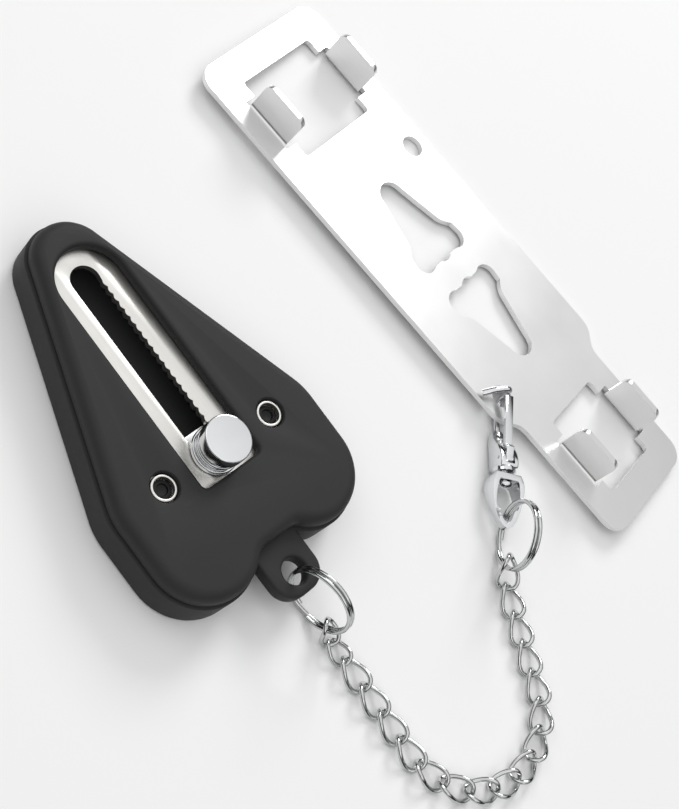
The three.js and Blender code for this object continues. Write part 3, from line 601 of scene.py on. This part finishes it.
class LOCK_OT_block(bpy.types.Operator):
    """Models the block's two shells, the steel track, its rivets and the rear screws"""
    bl_idname = "lock.block"
    bl_label = "Lock block"

    def execute(self, context):
        block = context.scene.lock_block
        height, seam, step = block.height / MM, block.seam / MM, block.step / MM
        track_top = seam + 2.1
        self.front(height, seam + 0.3, step, track_top + 0.3, block)
        self.rear(seam)
        self.track(seam + 0.3, track_top, step, block.tooth_pitch / MM)
        self.fixings(track_top + 0.3)
        return {"FINISHED"}

    def front(self, height, low, step, ceiling, block):
        rim = block.rim / MM
        turns = [i / 7 * math.pi / 2 for i in range(8)]
        loops = [level(heart(step + 0.25), low), level(heart(step), low + 0.25)]
        loops += [level(heart(step + rim * (1 - math.cos(a))), height - rim * (1 - math.sin(a)))
                  for a in turns]
        cover = loft("front_cover", loops)
        hollow = prism("hollow", heart(step + 2.9), low - 1, ceiling)
        combine(cover, hollow)
        lip = block.lip / MM
        flare = [(lip * (1 - math.cos(a)), height - lip * (1 - math.sin(a))) for a in turns]
        window_loops = [level(window(9.3, -42.6, 11.2, 1.6), ceiling - 1)]
        window_loops += [level(window(9.3 + grow, -42.6, 11.2 + grow, 1.6 + grow), z) for grow, z in flare]
        window_loops.append(level(window(9.3 + lip, -42.6, 11.2 + lip, 1.6 + lip), height + 1))
        combine(cover, loft("window_cut", window_loops))
        for side in (1, -1):
            sides = [(EYELET_HOLE, ceiling - 1)]
            sides += [(EYELET_HOLE + grow * 0.4, z) for grow, z in flare]
            sides.append((EYELET_HOLE + lip * 0.4, height + 1))
            combine(cover, turned("eyelet_cut", sides, 48, (EYELET_U, EYELET_V * side)))
        settle(cover, BLOCK, "lock_block", ["front_shell"], "matt_black", 40)

    def rear(self, seam):
        edge = 0.8
        turns = [i / 4 * math.pi / 2 for i in range(5)]
        loops = [level(heart(edge * (1 - math.sin(a))), edge * (1 - math.cos(a))) for a in turns]
        loops += [level(heart(0.35 * (1 - math.cos(a))), seam - 0.35 * (1 - math.sin(a))) for a in turns]
        cover = loft("rear_cover", loops)
        lug_end, lug_half, low = 44.0, 7.2, 5.0
        blunt = lug_half * 0.8
        outline = (arc(lug_end - blunt, -lug_half * 0.2, blunt, -math.pi / 2, 0)
                   + arc(lug_end - blunt, lug_half * 0.2, blunt, 0, math.pi / 2)
                   + [(24.2, lug_half), (24.2, -lug_half)])
        lug = prism("lug", outline, low, seam)
        combine(lug, turned("lug_hole", [(3.3, low - 1), (3.3, seam + 1)], 48, (38.2, 0)))
        break_edges(lug, 0.9, 4, 50)
        combine(cover, lug, "UNION")
        combine(cover, prism("pocket", window(7.6, -44.1, 12.5, 2), 3.0, seam + 1))
        for _, spot in SCREWS:
            combine(cover, turned("screw_sink", [(3.2, -1), (3.2, 2.2)], 40, spot))
        settle(cover, BLOCK, "lock_block", ["rear_shell"], "matt_black", 40)

    def track(self, low, high, step, pitch):
        plate = prism("track_face", heart(step + 3.2), low, high)
        half, tip, end = 3.9, -44.1, 4.9
        outline = arc(tip, 0, half, math.pi / 2, math.pi * 1.5)
        outline += arc(end, 0, half, -math.pi / 2, math.pi / 2)
        teeth = math.floor((end - tip - 2) / pitch)
        first = (end + tip + teeth * pitch) / 2
        for i in range(teeth):
            start = first - i * pitch
            outline += [(start - pitch * k / 6, half - 0.5 * math.sin(math.pi * k / 6)) for k in range(6)]
        combine(plate, prism("slot", outline, low - 1, high + 1))
        break_edges(plate, 0.14, 2, 50)
        settle(plate, BLOCK, "lock_block", ["track_plate"], "brushed_track", 30)

    def fixings(self, seat):
        head = [(1.4, 3.3), (1.4, seat), (2.5, seat), (2.5, seat + 0.45), (2.38, seat + 0.68),
                (2.1, seat + 0.8), (1.5, seat + 0.8), (1.3, seat + 0.35), (0.2, seat + 0.2)]
        ring = rounded_profile(3.35, seat, seat + 1.9, 0.35, 4)
        for side, v in (("right", EYELET_V), ("left", -EYELET_V)):
            spot = (EYELET_U, v)
            rivet = turned(f"track_eyelet_{side}", head, 48, spot)
            settle(rivet, BLOCK, "lock_block", [f"track_rivet_{side}"], "black_steel", 30)
            rim = turned(f"eyelet_rim_{side}", ring, 56, spot)
            combine(rim, turned("bore", [(2.65, seat - 1), (2.65, seat + 3)], 48, spot))
            break_edges(rim, 0.12, 2, 50)
            settle(rim, BLOCK, "lock_block", (), "brushed_track", 35)
        for name, (u, v) in SCREWS:
            sides = [(2.2, 0.4), (2.6, 0.48), (2.9, 0.85), (2.9, 1.9), (1.3, 1.9), (1.3, seat + 0.6)]
            screw = turned(f"cover_screw_{name}", sides, 40, (u, v))
            for turn in (0, math.pi / 2):
                slot = prism("cross", [(1.7, 0.3), (-1.7, 0.3), (-1.7, -0.3), (1.7, -0.3)], -0.5, 1.3)
                slot.matrix_world = Matrix.Translation((u, v, 0)) @ Matrix.Rotation(turn + 0.5, 4, "Z")
                combine(screw, slot)
            settle(screw, BLOCK, "lock_block", [f"rear_screw_{name}"], "black_steel", 30)


class LOCK_OT_knob(bpy.types.Operator):
    """Models the thumb knob, the washer under it and the clamp nut behind the track"""
    bl_idname = "lock.knob"
    bl_label = "Thumb knob"

    def execute(self, context):
        knob = context.scene.lock_knob
        radius, top, groove = knob.radius / MM, knob.top / MM, knob.groove / MM
        track_top = context.scene.lock_block.seam / MM + 2.1
        seat = track_top + 0.3
        spot = BLOCK @ Matrix.Translation((KNOB_U, 0, 0))
        washer = turned("thumb_washer", rounded_profile(radius, seat, seat + 1.4, 0.25, 4), 72)
        combine(washer, turned("bore", [(2.3, seat - 1), (2.3, seat + 3)], 40))
        settle(washer, spot, "washer", ["knob_washer"], "polished_chrome", 35)
        foot = seat + 1.7
        profile = [(2.0, 5.2), (2.0, foot)]
        profile += rounded_profile(radius - 0.5, foot, foot + 0.75, 0.18)
        profile += [(groove, foot + 0.8)]
        profile += [(groove, foot + 1.15)]
        profile += rounded_profile(radius - 0.25, foot + 1.2, foot + 2.0, 0.2)
        profile += [(groove, foot + 2.1), (groove, foot + 3.1)]
        profile += rounded_profile(radius, foot + 3.15, top, 0.42, 5)
        head = turned("thumb_knob", profile, 96)
        settle(head, spot, "knob", ["lock_knob"], "polished_chrome", 35)
        high = context.scene.lock_block.seam / MM + 0.3 - 0.45
        nut = prism("clamp_shoe", self.box(6.5, 6.6, 1.0), high - 1.7, high)
        boss = prism("boss", self.box(3.15, 3.15, 2.2), high - 1.7, track_top - 0.3)
        combine(nut, boss, "UNION")
        combine(nut, turned("bore", [(2.3, 0), (2.3, 14)], 40))
        break_edges(nut, 0.15, 2, 50)
        settle(nut, spot, "clamp", ["clamp_nut"], "bright_steel", 35)
        return {"FINISHED"}

    @staticmethod
    def box(x, y, corner):
        points = []
        for sx, sy, start in ((1, -1, -0.5), (1, 1, 0), (-1, 1, 0.5), (-1, -1, 1)):
            first, last = start * math.pi, (start + 0.5) * math.pi
            points += arc(sx * (x - corner), sy * (y - corner), corner, first, last)
        return points


class LOCK_OT_rings(bpy.types.Operator):
    """Models the two split rings, each two turns of wire"""
    bl_idname = "lock.rings"
    bl_label = "Split rings"

    def execute(self, context):
        chain = context.scene.lock_chain
        for node, body, name, joint in (
                ("split_ring_block", "block_ring", "key_ring_block", "connector_1_bend"),
                ("split_ring_clasp", "clasp_ring", "key_ring_clasp", "clasp_ring_bend")):
            low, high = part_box(node)
            centre = (low + high) / 2
            heading = pivot(joint) - centre
            heading.z = 0
            if node == "split_ring_clasp":
                heading = -heading
            ring = self.ring(name, chain.ring / MM, chain.ring_wire / MM)
            settle(ring, place(centre, heading), body, [node], "bright_nickel", 60)
        return {"FINISHED"}

    @staticmethod
    def ring(name, diameter, thick):
        radius = (diameter - thick) / 2
        lead = thick + 0.06
        steps = 220
        points = []
        for i in range(steps + 1):
            turn = 1.94 * i / steps + 0.03
            angle = 2 * math.pi * turn - math.pi / 2
            climb = lead * (1 / (1 + math.exp(-(turn - 1) * 16)) - 0.5)
            points.append((radius * math.cos(angle), climb, radius * math.sin(angle)))
        return wire(name, points, thick, sides=4)


class LOCK_OT_chain(bpy.types.Operator):
    """Models the curb chain: two small connecting links and sixteen twisted ones"""
    bl_idname = "lock.chain"
    bl_label = "Curb chain"
    slack = 0.45
    ring_gap = 1.1

    def execute(self, context):
        chain = context.scene.lock_chain
        steps = chain.link_steps
        small = (3.5, 2.5, 0.95, chain.small_wire / MM)
        curb = (4.55, 2.85, 1.3, chain.link_wire / MM)
        bodies = ["chain_connector_1", "chain_connector_2"] + [f"curb_link_{i:02d}" for i in range(1, 17)]
        sizes = [small, small] + [curb] * 16
        names = [body.replace("chain_", "") + "_bend" for body in bodies] + ["clasp_ring_bend"]
        spots = [pivot(name) for name in names]
        patterns = {small: self.link(small, steps), curb: self.link(curb, steps)}
        for i, body in enumerate(bodies):
            before = sizes[i - 1] if i else None
            direction = spots[i + 1] - spots[i]
            centre = spots[i] + direction.normalized() * self.reach(sizes[i], before) * MM
            select(patterns[sizes[i]])
            bpy.ops.object.duplicate()
            link = context.object
            link.name = body + "_wire"
            settle(link, place(centre, direction), body, [body], "bright_nickel", 60)
        for pattern in patterns.values():
            select(pattern)
            bpy.ops.object.delete()
        return {"FINISHED"}

    def reach(self, size, before):
        """From a link's centre to the joint with the link before it."""
        if before is None:
            return self.ring_gap
        return (size[0] + before[0] - (size[3] + before[3]) / 2 - self.slack) / 2

    @staticmethod
    def link(size, steps):
        half, width, twist, thick = size
        points = []
        for i in range(steps):
            a = 2 * math.pi * i / steps
            points.append((half * math.cos(a), width * math.sin(a), twist * math.sin(2 * a)))
        return wire("link_pattern", points, thick, closed=True, sides=3)


class LOCK_OT_clasp(bpy.types.Operator):
    """Models the swivel trigger clasp: hook, gate, pin, spring, rivet and bail"""
    bl_idname = "lock.clasp"
    bl_label = "Swivel clasp"

    hinge = (18.4, 5.6)
    gate_tip = (0.9, 7.4)

    def execute(self, context):
        clasp = context.scene.lock_clasp
        self.body(clasp.hook_wire / MM)
        self.gate()
        self.small_pieces()
        self.bail(clasp.bail_length / MM, clasp.bail_width / MM, clasp.bail_strip / MM)
        return {"FINISHED"}

    def body(self, thick):
        low, top = thick / 2 + 0.12, self.gate_tip[1] + 0.2
        run = through([
            (13, 0, 2.2), (8, 0, low + 0.2), (3.4, 0.2, low), (0.6, 0.7, low + 0.4), (-0.7, 1.1, low + 2.2),
            (-1.0, 1.0, 4.6), (-0.9, 0.2, top - 0.4), (-0.5, -1.6, top - 0.1), (0.3, -4.4, top - 0.5),
            (1.2, -7.2, top - 1.8)], 10)
        hook = wire("clasp_hook", run, thick, sides=4)
        side = [(8.8, 0.5), (21.0, 0.8), (21.0, 6.6), (19.8, 7.1), (18.4, 7.0), (16.6, 6.5), (14.4, 5.3),
                (12.4, 3.7), (10.6, 2.5), (8.8, 1.9)]
        cheeks = loft("cheeks", [[(x, y, z) for x, z in side] for y in (3.2, -3.2)])
        plan = [(8.6, -0.8), (9.6, -1.7), (11.0, -2.4), (13.0, -2.7), (SWIVEL_S, -2.7), (SWIVEL_S, 2.7),
                (13.0, 2.7), (11.0, 2.4), (9.6, 1.7), (8.6, 0.8)]
        combine(cheeks, prism("plan", plan, 0, 10), "INTERSECT")
        break_edges(cheeks, 0.45, 4, 30)
        end = self.hinge[0] + 1.6
        combine(cheeks, self.across("channel", [(9.5, 2.9), (end, 2.9), (end, 9), (9.5, 9)], 1.4))
        cap = turned("cap", [(2.5, 0)] + rounded_profile(3.2, 0.0, 2.2, 0.6, 4)[4:], 56)
        turn = Matrix.Rotation(-math.pi / 2, 4, "Y")
        cap.matrix_world = Matrix.Translation((SWIVEL_S, 0, SWIVEL_Z)) @ turn
        combine(cheeks, cap, "UNION")
        bore = turned("bore", [(1.3, SWIVEL_S - 2.2), (1.3, SWIVEL_S + 1.6)], 32)
        bore.matrix_world = Matrix.Translation((0, 0, SWIVEL_Z)) @ Matrix.Rotation(math.pi / 2, 4, "Y")
        combine(cheeks, bore)
        combine(cheeks, hook, "UNION")
        cheeks.name = "clasp_frame"
        settle(cheeks, CLASP, "clasp", ["clasp_body"], "polished_chrome", 40)

    @staticmethod
    def across(name, outline, half):
        """Solid with an outline of (x, z) points, carried across the clasp."""
        return loft(name, [[(x, y, z) for x, z in outline] for y in (half, -half)])

    def gate(self):
        x, z = self.hinge
        rise = math.atan2(self.gate_tip[1] - z, x - self.gate_tip[0])
        reach = math.hypot(self.gate_tip[1] - z, x - self.gate_tip[0])
        outline = [(-reach, -0.5), (-reach + 0.2, -0.6), (-2.2, -0.6)]
        outline += [(px, pz) for px, pz in arc(0, 0, 1.25, math.pi * 1.1, math.pi * 2.62, math.radians(12))]
        outline += [(-2.6, 1.4), (-2.85, 1.55), (-3.2, 1.5), (-3.5, 1.2), (-3.8, 0.6),
                    (-reach + 0.4, 0.6), (-reach, 0.3)]
        bar = self.across("gate_lever", outline, 1.1)
        combine(bar, self.across("pin_bore", circle(0.75, 24), 3))
        break_edges(bar, 0.42, 4, 40)
        turn = Matrix.Translation((x, 0, z)) @ Matrix.Rotation(rise, 4, "Y")
        settle(bar, CLASP @ turn, "gate", ["clasp_gate"], "polished_chrome", 40)

    def small_pieces(self):
        x, z = self.hinge
        pin = turned("gate_pivot", rounded_profile(0.6, -2.7, 2.7, 0.15), 32)
        upright = Matrix.Translation((x, 0, z)) @ Matrix.Rotation(math.pi / 2, 4, "X")
        settle(pin, CLASP @ upright, "clasp", ["gate_pin"], "bright_nickel")
        base = z - 1.9
        leaf = wire("gate_leaf_spring", through([
            (x - 3.3, 0, base + 0.75), (x - 2.2, 0, base + 0.25), (x - 1.0, 0, base - 0.1),
            (x + 0.3, 0, base), (x + 1.1, 0, base - 0.1)]), 0.5)
        settle(leaf, CLASP, "clasp", ["gate_spring"], "bright_nickel", 60)
        hub_end = SWIVEL_S + BAIL_GAP + BAIL_HUB + BAIL_GAP
        dome = [(2.1 * math.cos(a), hub_end + 0.25 + 1.5 * math.sin(a)) for a in
                (i / 8 * math.pi / 2 for i in range(8))]
        sides = [(1.0, SWIVEL_S - 1.9), (1.0, hub_end), (1.95, hub_end), (2.1, hub_end + 0.15)]
        sides += dome + [(0.15, hub_end + 1.75)]
        rivet = turned("swivel_ball", sides, 48)
        lie = Matrix.Translation((0, 0, SWIVEL_Z)) @ Matrix.Rotation(math.pi / 2, 4, "Y")
        settle(rivet, CLASP @ lie, "clasp", ["swivel_rivet"], "polished_chrome", 50)

    def bail(self, long, wide, strip):
        near, half = SWIVEL_S + BAIL_GAP, wide / 2
        far = near + long
        outline = self.stirrup(near, far, half, 1.2)
        inner = self.stirrup(near + BAIL_HUB, far - 1.5, half - strip, 0.8)
        bail = prism("swivel_stirrup", outline, SWIVEL_Z - 2.6, SWIVEL_Z + 2.6)
        combine(bail, prism("inside", inner, 0, 10))
        heights = [(near - 1, 2.6), (near + 2.4, 2.6), (near + 7, 1.7), (far - 3.4, 1.05), (far + 1, 0.95)]
        taper = [(x, SWIVEL_Z - h) for x, h in heights] + [(x, SWIVEL_Z + h) for x, h in reversed(heights)]
        combine(bail, self.across("taper", taper, half + 1), "INTERSECT")
        bore = turned("bore", [(1.3, near - 1), (1.3, near + 3)], 32)
        bore.matrix_world = Matrix.Translation((0, 0, SWIVEL_Z)) @ Matrix.Rotation(math.pi / 2, 4, "Y")
        combine(bail, bore)
        break_edges(bail, 0.32, 4, 45)
        settle(bail, CLASP, "bail", ["swivel_bail"], "polished_chrome", 40)

    @staticmethod
    def stirrup(near, far, half, corner):
        """Plan of the bail: square at the swivel, full at the waist, narrow at the ring."""
        side = [(near + corner, half * 0.88, 0), (near + 3.4, half, 0), (near + 7.4, half * 0.92, 0),
                (far - 3.4, half * 0.66, 0), (far - 1.0, half * 0.36, 0)]
        curve = through(side + [(far, 0, 0)] + [(x, -y, 0) for x, y, _ in reversed(side)], 8)
        shoulder = half * 0.88 - corner * 0.5
        return [(near, shoulder)] + [(p.x, p.y) for p in curve] + [(near, -shoulder)]


class LOCK_PT_panel(bpy.types.Panel):
    """Lists the lock's operators and settings"""
    bl_label = "Door lock"
    bl_idname = "LOCK_PT_panel"
    bl_space_type = "VIEW_3D"
    bl_region_type = "UI"
    bl_category = "Door lock"

    def draw(self, context):
        for operator, group in STEPS:
            box = self.layout.box()
            box.operator(operator.bl_idname)
            settings = getattr(context.scene, group)
            for key in settings.__annotations__:
                box.prop(settings, key)


STEPS = (
    (LOCK_OT_stage, "lock_finish"),
    (LOCK_OT_plate, "lock_plate"),
    (LOCK_OT_block, "lock_block"),
    (LOCK_OT_knob, "lock_knob"),
    (LOCK_OT_rings, "lock_chain"),
    (LOCK_OT_chain, "lock_chain"),
    (LOCK_OT_clasp, "lock_clasp"),
)
GROUPS = {
    "lock_finish": FinishSettings,
    "lock_plate": PlateSettings,
    "lock_block": BlockSettings,
    "lock_knob": KnobSettings,
    "lock_chain": ChainSettings,
    "lock_clasp": ClaspSettings,
}


def register():
    for kind in (*GROUPS.values(), *(operator for operator, _ in STEPS), LOCK_PT_panel):
        bpy.utils.register_class(kind)
    for name, kind in GROUPS.items():
        setattr(bpy.types.Scene, name, PointerProperty(type=kind))


def unregister():
    for name in GROUPS:
        delattr(bpy.types.Scene, name)
    for kind in (LOCK_PT_panel, *(operator for operator, _ in reversed(STEPS)), *GROUPS.values()):
        bpy.utils.unregister_class(kind)


def main():
    register()
    bpy.ops.lock.stage()
    bpy.ops.lock.plate()
    bpy.ops.lock.block()
    bpy.ops.lock.knob()
    bpy.ops.lock.rings()
    bpy.ops.lock.chain()
    bpy.ops.lock.clasp()


if __name__ == "__main__":
    main()
